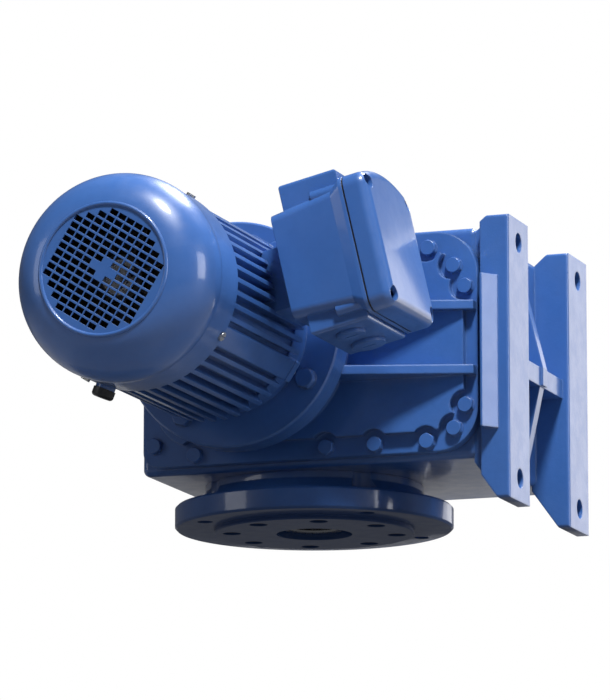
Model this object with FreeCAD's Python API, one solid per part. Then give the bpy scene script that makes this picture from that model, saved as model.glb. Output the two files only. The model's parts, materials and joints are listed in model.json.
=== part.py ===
import FreeCAD, Part
import math
import os

# Foot- and flange-mounted helical-worm gearmotor, output shaft vertical.
# Row frame, millimetres: the origin is the centre of the output flange's mounting face.
# +Z runs up the hollow output shaft, +X points out of the feet, and the motor points along -Y.
# "u" below is the distance from the output axis towards the motor, so u = -y.

V = FreeCAD.Vector

# ---------------------------------------------------------------- driving dimensions
MOTOR_AXIS_X = -10.0      # the motor axis passes this far behind the output axis
MOTOR_AXIS_Z = 145.0      # height of the motor axis above the mounting face
MOTOR_ROLL = 13.0         # degrees the motor is turned, which lifts the terminal box
WORM_X = 90.0             # worm centre distance
WHEEL_Z = 130.0           # mid-plane of the worm wheel

WORM_STARTS = 2
WHEEL_TEETH = 39
WHEEL_MODULE = 3.5
PINION_TEETH = 25
GEAR_TEETH = 72
HELICAL_MODULE = 2.0      # normal module of the input stage
PRESSURE_ANGLE = math.radians(20)
MESH_BACKLASH = 0.30      # total circumferential play of each mesh

BODY_X0, BODY_X1 = -123.0, 190.0
BODY_U = 110.0            # front and back faces stand this far from the output axis
BODY_Z0, BODY_Z1 = 38.0, 242.0
BODY_EDGE = 6.0
WALL = 10.0
FRONT_WALL = 16.0

FOOT_X = 221.5            # plane of the feet
FOOT_TOP = 250.0
RAIL_U = 89.0             # centre of each foot rail
RAIL_WIDTH = 60.0
FOOT_HOLE_Z = (20.5, 229.5)
FOOT_HOLE_R = 8.75
STRIP_X = (199.5, 201.5, 211.5)   # strip down the outer side of each rail, sloping off towards the foot
STRIP_Z = (61.0, 196.0)
STRIP_PROUD = (14.0, 1.0)
SHELF_HALF = 8.5          # level shelf between the rails
SHELF_RECESS = 6.0
GUSSET_HALF = 6.0

FLANGE_R = 125.0
FLANGE_THICK = 20.0
FLANGE_PCD = 215.0
FLANGE_HOLE_R = 7.0
SPIGOT_R, SPIGOT_H = 90.0, 4.0
BORE_R = 20.0             # hollow shaft bore
SHAFT_R = 30.0            # hollow shaft at its bearings
SHAFT_SEAT_R = 33.0       # hollow shaft under the wheel
SHAFT_Z0, SHAFT_Z1 = 1.0, 247.0
OUTPUT_BEARING_Z = (44.0, 206.0)
HUB_BORE_R = 62.0         # openings in the housing's floor and roof

COVER_THICK = 12.0
ADAPTER_FACE_U = 176.0    # where the motor bolts on
ADAPTER_R = 100.0
ADAPTER_PCD = 165.0
RIB_Z = (112.0, 169.0)
PLATE_X1 = 194.0          # edge of the front cover nearest the feet

MOTOR_BODY_U = (235.0, 412.0)
FIN_R, FIN_ROOT_R, FRAME_BORE_R = 85.0, 75.0, 67.0
SHIELD_SPIGOT_R = 69.0
SHIELD_SCREW_R = 80.0
FIN_PITCH = 7.5           # degrees
COWL_U = (404.0, 487.0)
COWL_R = 87.0
COWL_SKIN = 1.5
GRILLE_R = 53.5
GRILLE_HUB_R = 10.0
SLOT_PITCH = (8.4, 6.4)
SLOT_SIZE = (7.3, 4.5)

BOX_RHO = (105.0, 173.0)  # terminal box, measured out from the motor axis
BOX_SHOULDER_RHO = 161.0  # where the walls flare out to the lid
BOX_U = (230.0, 345.0)
BOX_HALF = (46.0, 51.0)   # half width at the foot and at the shoulder
BOX_WALL = 4.0
WING_Y = (-64.0, 69.5)    # cable entry pads stand out to here
WING_RHO = (116.0, 168.0)
WING_U = (240.0, 337.0)
LID_HALF = 60.0
LID_OVERHANG = 2.0
LID_RHO = 195.5
LID_ARCH = 8.0            # rise of the lid's upper side in its middle
LID_EDGE_R = 9.0
GASKET = 1.5
CABLE_ENTRIES = ((265.0, 12.5), (310.0, 10.0))

CLEAR = 0.05              # gap between pieces that are screwed or slid together
SCREW_CLEAR = 0.3

PARTS = {}


# ---------------------------------------------------------------- small helpers
def cyl(r, z0, z1, x=0.0, y=0.0):
    return Part.makeCylinder(r, z1 - z0, V(x, y, z0))


def tube(r_out, r_in, z0, z1, x=0.0, y=0.0):
    return cyl(r_out, z0, z1, x, y).cut(cyl(r_in, z0 - 1, z1 + 1, x, y))


def box(x0, x1, y0, y1, z0, z1):
    return Part.makeBox(x1 - x0, y1 - y0, z1 - z0, V(x0, y0, z0))


def turned(points):
    """A solid of revolution about Z from (radius, z) corners."""
    corners = [V(r, 0, z) for r, z in points]
    face = Part.Face(Part.makePolygon(corners + corners[:1]))
    return face.revolve(V(0, 0, 0), V(0, 0, 1), 360)


def slab(points, z0, z1):
    """A prism along Z from (x, y) corners."""
    corners = [V(x, y, z0) for x, y in points]
    return Part.Face(Part.makePolygon(corners + corners[:1])).extrude(V(0, 0, z1 - z0))


def rounded(x0, x1, y0, y1, z0, z1, r):
    """A box whose four edges along Z are rounded."""
    solid = box(x0, x1, y0, y1, z0, z1)
    upright = [e for e in solid.Edges if abs(e.tangentAt(e.FirstParameter).z) > 0.9]
    return solid.makeFillet(r, upright)


def ring_of(count, r, start=0.0, step=None):
    step = 360.0 / count if step is None else step
    angles = [math.radians(start + step * i) for i in range(count)]
    return [(r * math.cos(a), r * math.sin(a)) for a in angles]


def union(shapes):
    first, rest = shapes[0], shapes[1:]
    return first.fuse(rest).removeSplitter() if rest else first


def minus(shape, tools):
    return shape.cut(tools) if tools else shape


def turn_z(shape, degrees):
    out = shape.copy()
    out.rotate(V(0, 0, 0), V(0, 0, 1), degrees)
    return out


def frame(x, z, roll=0.0, y=0.0):
    """Local Z points towards the motor, local X leans up from the feet by roll."""
    c, s = math.cos(math.radians(roll)), math.sin(math.radians(roll))
    return FreeCAD.Placement(FreeCAD.Matrix(c, -s, 0, x, 0, 0, -1, y, s, c, 0, z, 0, 0, 0, 1))


MOTOR_FRAME = frame(MOTOR_AXIS_X, MOTOR_AXIS_Z, MOTOR_ROLL)
INPUT_FRAME = frame(MOTOR_AXIS_X, MOTOR_AXIS_Z)
WORM_FRAME = frame(WORM_X, WHEEL_Z)
FRONT_FRAME = frame(0, 0)
BACK_FRAME = FreeCAD.Placement(V(0, 0, 0), FreeCAD.Rotation(V(1, 0, 0), -90))
LEFT_FRAME = FreeCAD.Placement(FreeCAD.Matrix(0, 0, -1, 0, 1, 0, 0, 0, 0, -1, 0, 0, 0, 0, 0, 1))
UP_FRAME = FreeCAD.Placement()


def put(shape, placement):
    out = shape.copy()
    out.Placement = placement.multiply(out.Placement)
    return out


def save(name, shapes):
    solids = []
    for shape in shapes if isinstance(shapes, list) else [shapes]:
        solids.extend(shape.Solids)
    PARTS[name] = Part.makeCompound(solids) if len(solids) > 1 else solids[0]


def hex_prism(across_flats, z0, z1, x=0.0, y=0.0):
    r = across_flats / math.sqrt(3)
    corners = [(x + px, y + py) for px, py in ring_of(6, r, 30)]
    return slab(corners, z0, z1)


def hex_screw(size, x, y, z, length, head):
    """Head stands on the plane z and the shank runs down from it."""
    flats = 1.625 * size
    top = hex_prism(flats, z, z + head, x, y)
    crown = Part.makeCone(flats * 0.68, flats * 0.48, head * 1.02, V(x, y, z))
    shank = cyl(size / 2 - CLEAR, z - length, z, x, y)
    washer = cyl(flats * 0.60, z, z + 0.8, x, y)
    return union([top.common(crown), washer, shank])


def socket_screw(size, x, y, z, length):
    """Cap screw: its head's underside is on the plane z."""
    head = cyl(0.75 * size, z, z + size, x, y)
    socket = hex_prism(0.8 * size, z + 0.5 * size, z + size + 1, x, y)
    return union([head, cyl(size / 2 - CLEAR, z - length, z, x, y)]).cut(socket)


def holes(points, r, z0, z1):
    return [cyl(r, z0, z1, x, y) for x, y in points]


# ---------------------------------------------------------------- gears
def involute(angle):
    return math.tan(angle) - angle


def gear_outline(teeth, module, pressure, r_root, r_tip, twist, z):
    """Closed wire of an involute gear in the plane z, turned by twist, with a tooth on +X."""
    r_pitch = teeth * module / 2
    r_base = r_pitch * math.cos(pressure)
    half = (math.pi * module / 2 - MESH_BACKLASH / 2) / (2 * r_pitch) + involute(pressure)
    start = max(r_base, r_root)
    radii = [start + (r_tip - start) * k / 4 for k in range(5)]

    def at(r, angle):
        return V(r * math.cos(angle + twist), r * math.sin(angle + twist), z)

    def offset(r):
        return half - involute(math.acos(min(1.0, r_base / r)))

    edges, pitch = [], 2 * math.pi / teeth
    for i in range(teeth):
        mid = i * pitch
        rise = Part.BSplineCurve()
        rise.interpolate([at(r, mid - offset(r)) for r in radii])
        fall = Part.BSplineCurve()
        fall.interpolate([at(r, mid + offset(r)) for r in reversed(radii)])
        foot_in = at(r_root, mid - offset(start))
        foot_out = at(r_root, mid + offset(start))
        if start > r_root + 1e-6:
            edges.append(Part.makeLine(foot_in, at(start, mid - offset(start))))
        edges.append(rise.toShape())
        edges.append(Part.makeLine(at(r_tip, mid - offset(r_tip)), at(r_tip, mid + offset(r_tip))))
        edges.append(fall.toShape())
        if start > r_root + 1e-6:
            edges.append(Part.makeLine(at(start, mid + offset(start)), foot_out))
        edges.append(Part.makeLine(foot_out, at(r_root, mid + pitch - offset(start))))
    return Part.Wire(edges)


def helical_blank(teeth, module, pressure, r_root, r_tip, z0, z1, twist_per_mm, phase=0.0):
    """Gear solid whose teeth are true to phase at mid-width."""
    mid = (z0 + z1) / 2
    wires = [
        gear_outline(teeth, module, pressure, r_root, r_tip, phase + twist_per_mm * (z - mid), z)
        for z in (z0, mid, z1)
    ]
    return Part.makeLoft(wires, True, True)


HELICAL_DISTANCE = math.hypot(WORM_X - MOTOR_AXIS_X, MOTOR_AXIS_Z - WHEEL_Z)
HELICAL_M_T = 2 * HELICAL_DISTANCE / (PINION_TEETH + GEAR_TEETH)
HELIX = math.acos(HELICAL_MODULE / HELICAL_M_T)
HELICAL_PRESSURE = math.atan(math.tan(PRESSURE_ANGLE) / math.cos(HELIX))
PINION_R = PINION_TEETH * HELICAL_M_T / 2
GEAR_R = GEAR_TEETH * HELICAL_M_T / 2
HELICAL_U = (74.0, 91.0)
WHEEL_R = WHEEL_TEETH * WHEEL_MODULE / 2
WORM_R = WORM_X - WHEEL_R
LEAD = math.pi * WHEEL_MODULE * WORM_STARTS
LEAD_ANGLE = math.atan(LEAD / (2 * math.pi * WORM_R))
WHEEL_HALF = 18.0
RIM_R = WHEEL_R - 1.25 * WHEEL_MODULE - 6.5


def make_helical_pair():
    """Pinion on the motor shaft and gear on the worm shaft."""
    to_gear = math.atan2(WHEEL_Z - MOTOR_AXIS_Z, WORM_X - MOTOR_AXIS_X)
    pinion = helical_blank(
        PINION_TEETH, HELICAL_M_T, HELICAL_PRESSURE, PINION_R - 1.25 * HELICAL_MODULE,
        PINION_R + HELICAL_MODULE, *HELICAL_U, math.tan(HELIX) / PINION_R, to_gear)
    pinion = pinion.cut(cyl(12.5 + CLEAR, 0, 120))
    save("motor_pinion", put(pinion, INPUT_FRAME))

    gear = helical_blank(
        GEAR_TEETH, HELICAL_M_T, HELICAL_PRESSURE, GEAR_R - 1.25 * HELICAL_MODULE,
        GEAR_R + HELICAL_MODULE, *HELICAL_U, -math.tan(HELIX) / GEAR_R,
        to_gear + math.pi + math.pi / GEAR_TEETH)
    u0, u1 = HELICAL_U
    dish = [tube(GEAR_R - 9, 24, u1 - 4, u1 + 1), tube(GEAR_R - 9, 24, u0 - 1, u0 + 4)]
    ports = holes(ring_of(6, 42), 8, u0 - 1, u1 + 1)
    keyway = box(0, 18.3, -5, 5, u0 - 1, u1 + 1)
    gear = minus(gear, dish + ports + [cyl(15 + CLEAR, 0, 120), keyway])
    save("helical_gear", put(gear, WORM_FRAME))
    key = box(11.5, 18.2, -4.9, 4.9, u0 + 1, u1 - 1)
    save("gear_key", put(key, WORM_FRAME))


def make_worm():
    """Two-start worm cut in one with its shaft."""
    addendum, dedendum, half_length = WHEEL_MODULE, 1.2 * WHEEL_MODULE, 40.0
    r_root, r_tip = WORM_R - dedendum, WORM_R + addendum
    pitch = math.pi * WHEEL_MODULE
    half_mid = pitch / 4 - MESH_BACKLASH / 4
    slope = math.tan(PRESSURE_ANGLE)
    run = half_length + 4
    foot = half_mid + (dedendum + 1.0) * slope
    top = half_mid - addendum * slope
    corners = [V(r_root - 1.0, 0, -run - foot), V(r_tip, 0, -run - top),
               V(r_tip, 0, -run + top), V(r_root - 1.0, 0, -run + foot)]
    section = Part.makePolygon(corners + corners[:1])
    path = Part.makeLongHelix(LEAD, 2 * run, r_root - 0.4)
    path.translate(V(0, 0, -run))
    thread = Part.Wire(path).makePipeShell([section], True, True)
    facing_wheel = 180 - 360 * run / LEAD
    threads = [turn_z(thread, facing_wheel + 360 * i / WORM_STARTS) for i in range(WORM_STARTS)]
    envelope = turned([(0, -half_length - 3), (r_root - 0.5, -half_length - 3),
                       (r_tip + 1, -half_length + 4),
                       (r_tip + 1, half_length - 4), (r_root - 0.5, half_length + 3),
                       (0, half_length + 3)])
    core = turned([(0, -100), (14, -100), (15, -99), (15, -83), (19, -83), (19, -48), (r_root, -44),
                   (r_root, 44), (18.5, 47), (18.5, 55), (15, 55), (15, 90.8), (14, 90.8), (14, 102),
                   (0, 102)])
    keyseat = box(11.4, 20, -5, 5, HELICAL_U[0], HELICAL_U[1])
    shaft = core.cut(keyseat)
    for thread in threads:
        shaft = shaft.fuse(thread.common(envelope))
    save("worm_shaft", put(shaft.removeSplitter(), WORM_FRAME))
    nut = tube(22, 14 + CLEAR, 91.1, 99)
    slots = [box(19, 23, -2.5, 2.5, 91, 101)]
    nut = minus(nut, [turn_z(slots[0], 90 * i) for i in range(4)])
    save("worm_locknut", put(nut, WORM_FRAME))


def make_wheel():
    """Bronze rim on an iron hub, keyed to the hollow shaft."""
    z0, z1 = WHEEL_Z - WHEEL_HALF, WHEEL_Z + WHEEL_HALF
    rim = helical_blank(
        WHEEL_TEETH, WHEEL_MODULE, PRESSURE_ANGLE, WHEEL_R - 1.25 * WHEEL_MODULE,
        WHEEL_R + 1.4 * WHEEL_MODULE, z0, z1, math.tan(LEAD_ANGLE) / WHEEL_R,
        math.pi / WHEEL_TEETH)
    throat = WORM_R - 1.2 * WHEEL_MODULE + 0.7
    rim = minus(rim, [Part.makeTorus(WORM_X, throat, V(0, 0, WHEEL_Z)), cyl(RIM_R, z0 - 1, z1 + 1)])
    screws = ring_of(6, RIM_R, 30)
    pins = holes(screws, 3 + CLEAR, z1 - 12, z1 + 1)
    save("worm_wheel_rim", minus(rim, pins))

    hub = turned([(SHAFT_SEAT_R + CLEAR, z0), (48, z0), (48, z0 + 10), (RIM_R - 7, z0 + 10),
                  (RIM_R - 7, z0), (RIM_R - CLEAR, z0), (RIM_R - CLEAR, z1), (RIM_R - 7, z1),
                  (RIM_R - 7, z1 - 10), (48, z1 - 10), (48, z1), (SHAFT_SEAT_R + CLEAR, z1)])
    keyway = box(-38.5, 0, -5, 5, z0 - 1, z1 + 1)
    save("worm_wheel_hub", minus(hub, pins + [keyway]))
    save("wheel_key", box(-38.3, -28.8, -4.9, 4.9, z0 + 3, z1 - 3))
    save("rim_screws", [cyl(3, z1 - 11.5, z1 - 0.3, x, y) for x, y in screws])


def make_hollow_shaft():
    lower = OUTPUT_BEARING_Z[0] + 18.0
    upper = OUTPUT_BEARING_Z[1]
    shaft = turned([(BORE_R + 1.5, SHAFT_Z0), (SHAFT_R - 1, SHAFT_Z0), (SHAFT_R, SHAFT_Z0 + 1),
                    (SHAFT_R, lower), (SHAFT_SEAT_R, lower), (SHAFT_SEAT_R, upper),
                    (SHAFT_R, upper), (SHAFT_R, SHAFT_Z1 - 1), (SHAFT_R - 1, SHAFT_Z1),
                    (BORE_R + 1.5, SHAFT_Z1), (BORE_R, SHAFT_Z1 - 1.5), (BORE_R, SHAFT_Z0 + 1.5)])
    bore_key = box(0, 23.3, -6, 6, SHAFT_Z0 - 1, SHAFT_Z1 + 1)
    seat = box(-SHAFT_SEAT_R - 1, -28.7, -5, 5, WHEEL_Z - 15, WHEEL_Z + 15)
    save("hollow_output_shaft", minus(shaft, [bore_key, seat]))
    z0, z1 = WHEEL_Z - WHEEL_HALF, WHEEL_Z + WHEEL_HALF
    sleeves = [tube(38, SHAFT_SEAT_R + CLEAR, lower + CLEAR, z0 - CLEAR),
               tube(38, SHAFT_SEAT_R + CLEAR, z1 + CLEAR, upper - CLEAR)]
    save("shaft_spacers", sleeves)


# ---------------------------------------------------------------- bearings
def bearing(bore, outside, width, balls, z0):
    """Deep-groove ball bearing along Z: outer ring, inner ring, and caged balls."""
    r_pitch = (bore + outside) / 4
    r_ball = 0.31 * (outside - bore) / 2
    mid = z0 + width / 2
    groove = Part.makeTorus(r_pitch, r_ball + 0.04, V(0, 0, mid))
    outer = tube(outside / 2 - CLEAR, r_pitch + 0.62 * r_ball, z0, z0 + width).cut(groove)
    inner = tube(r_pitch - 0.62 * r_ball, bore / 2 + CLEAR, z0, z0 + width).cut(groove)
    spheres = [Part.makeSphere(r_ball, V(x, y, mid)) for x, y in ring_of(balls, r_pitch)]
    pockets = [Part.makeCylinder(r_ball + 0.08, r_pitch * 1.5, V(0, 0, mid), V(x, y, 0))
               for x, y in ring_of(balls, r_pitch)]
    cage = tube(r_pitch + 0.3 * r_ball, r_pitch - 0.3 * r_ball, mid - 1.35 * r_ball, mid + 1.35 * r_ball)
    return outer, inner, spheres + [cage.cut(pockets)]


def save_bearings(name, placement, sizes, starts):
    outers, inners, rollers = [], [], []
    for z0 in starts:
        outer, inner, set_of = bearing(*sizes, z0)
        outers.append(put(outer, placement))
        inners.append(put(inner, placement))
        rollers.extend(put(s, placement) for s in set_of)
    save(name + "_outer_rings", outers)
    save(name + "_inner_rings", inners)
    save(name + "_balls", rollers)


# ---------------------------------------------------------------- gear case
COVER_SCREWS = [(183.5, 82), (173, 62), (148, 52), (100, 52), (55, 52), (-68, 52), (-106, 62),
                (-107, 140),
                (-106, 218), (-68, 228), (55, 228), (100, 228), (150, 223), (173, 206), (183.5, 187)]
SIDE_SCREWS = [(y, z) for y in (-66, 0, 66) for z in (72, 208)] + [(-66, 140), (66, 140)]
END_SCREWS = ring_of(4, 39.4, 45)
TOP_SCREWS = ring_of(6, 69, 0)
FLANGE_SCREWS = ring_of(8, 74, 22.5)


def rail(centre):
    """One foot rail, its back corners bevelled towards the casing."""
    y0, y1 = centre - RAIL_WIDTH / 2, centre + RAIL_WIDTH / 2
    back = BODY_X1 - 4
    corners = [(back, 34), (FOOT_X - 11, 0), (FOOT_X, 0), (FOOT_X, FOOT_TOP), (BODY_X1 + 12, FOOT_TOP),
               (back, 236)]
    points = [V(x, y0, z) for x, z in corners]
    solid = Part.Face(Part.makePolygon(points + points[:1])).extrude(V(0, y1 - y0, 0))
    ends = [e for e in solid.Edges if e.BoundBox.YLength < 1 and e.BoundBox.XMin > BODY_X1 + 5]
    solid = solid.makeFillet(2.5, ends)
    side = 1 if centre > 0 else -1
    edge = centre + side * RAIL_WIDTH / 2
    proud, thin = STRIP_PROUD
    wedge = [(STRIP_X[0], edge - side), (STRIP_X[2], edge - side), (STRIP_X[2], edge + side * thin),
             (STRIP_X[1], edge + side * proud), (STRIP_X[0], edge + side * proud)]
    strip = slab(wedge, *STRIP_Z)
    solid = solid.fuse(strip)
    if side < 0:
        solid = solid.cut(box(back - 1, PLATE_X1 + 1.5, -BODY_U - 9.5, -BODY_U + 2, -1, FOOT_TOP + 1))
    return solid


def foot_web():
    """Level shelf between the two rails and an upright gusset above and below it."""
    wall = BODY_X1 - 2
    inside = RAIL_U - RAIL_WIDTH / 2 + 1
    mid = FOOT_TOP / 2
    low, high = mid - SHELF_HALF, mid + SHELF_HALF
    shelf = box(wall, FOOT_X - SHELF_RECESS, -inside, inside, low, high)
    upper = [(wall, low + 1), (FOOT_X - 4, low + 1), (FOOT_X - 4, high), (BODY_X1 + 2, 236), (wall, 236)]
    lower = [(wall, high - 1), (FOOT_X - 7, high - 1), (FOOT_X - 7, low), (BODY_X1 + 8, 40), (wall, 40)]
    webs = [shelf]
    for outline in (upper, lower):
        corners = [V(x, -GUSSET_HALF, z) for x, z in outline]
        webs.append(Part.Face(Part.makePolygon(corners + corners[:1])).extrude(V(0, 2 * GUSSET_HALF, 0)))
    return webs


def make_housing():
    block = box(BODY_X0, BODY_X1, -BODY_U, BODY_U, BODY_Z0, BODY_Z1)
    block = block.makeFillet(BODY_EDGE, block.Edges)
    cavity = rounded(BODY_X0 + WALL, BODY_X1 - WALL, -BODY_U + FRONT_WALL, BODY_U - WALL,
                     BODY_Z0 + WALL, BODY_Z1 - WALL, 8)
    shell = block.cut(cavity)
    pads = [cyl(88, BODY_Z0, BODY_Z0 + 24), cyl(80, BODY_Z1 - 24, BODY_Z1)]
    worm_seat = put(cyl(46, -BODY_U + 1, -80), WORM_FRAME)
    partition = box(53.5, BODY_X1 - 5, -73.5, -55, BODY_Z0 + 5, BODY_Z1 - 5)
    extra = pads + [worm_seat, partition, rail(-RAIL_U), rail(RAIL_U)] + foot_web()
    solid = shell.fuse(extra)
    left_bosses = [put(cyl(9, BODY_X0 * -1 - 22, -BODY_X0, y, z), LEFT_FRAME) for y, z in left_sites()]
    solid = solid.fuse(left_bosses)

    cuts = [cyl(HUB_BORE_R, 0, BODY_Z0 + 40), cyl(HUB_BORE_R, BODY_Z1 - 40, BODY_Z1 + 5)]
    opening = rounded(-94, 158, 68, 212, BODY_U - FRONT_WALL - 1, BODY_U + 1, 30)
    cuts.append(put(opening, FRONT_FRAME))
    cuts.extend(put(h, FRONT_FRAME) for h in holes(COVER_SCREWS, 4, BODY_U - 15.5, BODY_U + 1))
    cuts.append(put(cyl(31, 55 - 1, 74), WORM_FRAME))
    cuts.append(put(cyl(31, -BODY_U - 1, -84), WORM_FRAME))
    cuts.append(put(cyl(24, -90, -78), WORM_FRAME))
    cuts.extend(put(h, WORM_FRAME) for h in holes(END_SCREWS, 3, -BODY_U - 1, -BODY_U + 16))
    window = rounded(-48, 48, -188, -92, -BODY_X0 - WALL - 1, -BODY_X0 + 1, 20)
    cuts.append(put(window, LEFT_FRAME))
    cuts.extend(put(cyl(4, -BODY_X0 - 18, -BODY_X0 + 1, y, z), LEFT_FRAME) for y, z in left_sites())
    cuts.extend(holes(TOP_SCREWS, 4, BODY_Z1 - 18, BODY_Z1 + 1))
    cuts.extend(holes(FLANGE_SCREWS, 5, BODY_Z0 - 1, BODY_Z0 + 20))
    for u in (-RAIL_U, RAIL_U):
        for z in FOOT_HOLE_Z:
            cuts.append(Part.makeCylinder(FOOT_HOLE_R, 60, V(BODY_X1 - 1, u, z), V(1, 0, 0)))
    cuts.append(cyl(8, BODY_Z1 - WALL - 1, BODY_Z1 + 1, *BREATHER_AT))
    cuts.extend(Part.makeCylinder(8, WALL + 2, V(x, BODY_U - WALL - 1, z), V(0, 1, 0)) for x,
                z in PLUG_AT)
    save("gear_housing", solid.cut(cuts))


BREATHER_AT = (150.0, 62.0)
PLUG_AT = [(-60.0, 62.0), (-60.0, 150.0), (20.0, 215.0)]


def left_sites():
    """Side cover screws as (y, -z) in the left face's frame."""
    return [(y, -z) for y, z in SIDE_SCREWS]


def plate_outline(u0, u1):
    """Front cover plate with big corners towards the feet."""
    solid = box(-117, PLATE_X1, 43, 237, u0, u1)
    upright = [e for e in solid.Edges if abs(e.tangentAt(e.FirstParameter).z) > 0.9]
    solid = solid.makeFillet(38, [e for e in upright if e.BoundBox.XMin > 0])
    upright = [e for e in solid.Edges if abs(e.tangentAt(e.FirstParameter).z) > 0.9]
    return solid.makeFillet(14, [e for e in upright if e.BoundBox.XMax < -116])


def make_input_cover():
    """Front cover with the motor adapter cast on and its stiffening ribs."""
    u0 = BODY_U + 0.5
    u1 = BODY_U + COVER_THICK
    plate = plate_outline(u0, u1)
    raised = rounded(-102, PLATE_X1 - 11, 60, 220, u1 - 1, u1 + 7, 34)
    raised = minus(raised, holes(COVER_SCREWS, 13, u1 - 2, u1 + 9))
    face = ADAPTER_FACE_U
    back = face - 14
    adapter = turned([(0, u0), (88, u0), (88, u1 + 7), (76, back - 6), (76, back),
                      (ADAPTER_R - 1.5, back),
                      (ADAPTER_R, back + 1.5), (ADAPTER_R, face), (0, face)])
    adapter.translate(V(MOTOR_AXIS_X, MOTOR_AXIS_Z, 0))
    ribs = []
    for z in RIB_Z:
        for tip, root in ((PLATE_X1 - 1, 50), (-112, -70)):
            reach = MOTOR_AXIS_X + (96 if tip > 0 else -96)
            corners = [(root, u1 - 2), (root, back + 2), (reach, back + 2), (tip, u1 + 9), (tip, u1 - 2)]
            points = [V(x, z - 4, u) for x, u in corners]
            ribs.append(Part.Face(Part.makePolygon(points + points[:1])).extrude(V(0, 8, 0)))
    solid = plate.fuse([raised, adapter] + ribs)

    hollow = turned([(38, u0 - 1), (66, u0 - 1), (66, back - 10), (56, back), (56, u0 + 34),
                     (38, u0 + 34)])
    bore = turned([(0, u0 - 1), (26, u0 - 1), (26, 127), (21, 127), (21, 138), (23.5, 138), (23.5, 146),
                   (30, 146), (30, face - 5), (65, face - 5), (65, face + 1), (0, face + 1)])
    cuts = []
    for tool in (hollow, bore):
        tool.translate(V(MOTOR_AXIS_X, MOTOR_AXIS_Z, 0))
        cuts.append(tool)
    cuts.extend(holes(COVER_SCREWS, 4 + SCREW_CLEAR, u0 - 1, u1 + 1))
    for x, y in ring_of(4, ADAPTER_PCD / 2, 45 + MOTOR_ROLL):
        cuts.append(cyl(5, back - 1, face + 1, x + MOTOR_AXIS_X, y + MOTOR_AXIS_Z))
    solid = solid.cut(cuts)
    save("input_cover", put(solid, FRONT_FRAME))
    gasket = minus(plate_outline(BODY_U, u0), [rounded(-94, 158, 68, 212, BODY_U - 1, u0 + 1, 30)]
                   + holes(COVER_SCREWS, 4 + SCREW_CLEAR, BODY_U - 1, u0 + 1))
    save("input_cover_gasket", put(gasket, FRONT_FRAME))
    save("input_cover_screws", [put(hex_screw(8, x, y, u1, 25, 5.3), FRONT_FRAME) for x,
                                y in COVER_SCREWS])


def make_small_covers():
    """Inspection cover on the left, worm end cover at the back, and the roof cover."""
    x = -BODY_X0
    plate = rounded(-78, 78, -220, -60, x + 0.5, x + 7, 16)
    sites = left_sites()
    save("side_cover", put(minus(plate, holes(sites, 4 + SCREW_CLEAR, x, x + 8)), LEFT_FRAME))
    gasket = minus(rounded(-78, 78, -220, -60, x, x + 0.5, 16),
                   holes(sites, 4 + SCREW_CLEAR, x - 1, x + 1) + [rounded(-48, 48, -188, -92, x - 1,
                                                                          x + 1, 20)])
    save("side_cover_gasket", put(gasket, LEFT_FRAME))
    save("side_cover_screws", [put(hex_screw(8, y, z, x + 7, 22, 5.3), LEFT_FRAME) for y, z in sites])

    end = turned([(0, -BODY_U - 9), (46, -BODY_U - 9), (48, -BODY_U - 7), (48, -BODY_U), (30.9, -BODY_U),
                  (30.9, -BODY_U + 7), (24, -BODY_U + 7), (24, -BODY_U - 3), (0, -BODY_U - 3)])
    end = minus(end, holes(END_SCREWS, 3 + SCREW_CLEAR, -BODY_U - 12, -BODY_U + 1))
    save("worm_end_cover", put(end, WORM_FRAME))
    flip = FreeCAD.Placement(V(0, 0, 0), FreeCAD.Rotation(V(1, 0, 0), 180))
    screws = [put(put(hex_screw(6, px, py, BODY_U + 9, 22, 4), flip), WORM_FRAME) for px,
              py in END_SCREWS]
    save("worm_end_screws", screws)

    z = BODY_Z1
    top = turned([(SHAFT_R + 4, z + 10), (78, z + 10), (80, z + 8), (80, z), (HUB_BORE_R - CLEAR, z),
                  (HUB_BORE_R - CLEAR, 202), (42, 202), (42, 206), (47.5, 206), (47.5, 224.1),
                  (42.5, 224.1),
                  (42.5, z - 4), (42.5, z + 6), (SHAFT_R + 4, z + 6)])
    save("roof_cover", minus(top, holes(TOP_SCREWS, 4 + SCREW_CLEAR, z - 1, z + 11)))
    save("roof_cover_screws", [hex_screw(8, px, py, z + 10, 26, 5.3) for px, py in TOP_SCREWS])
    cap = turned([(0, z + 24), (48, z + 24), (52, z + 20), (52, z + 10 + CLEAR), (49.5, z + 10 + CLEAR),
                  (49.5, z + 19), (47, z + 21.5), (0, z + 21.5)])
    save("shaft_cap", cap)


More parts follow.
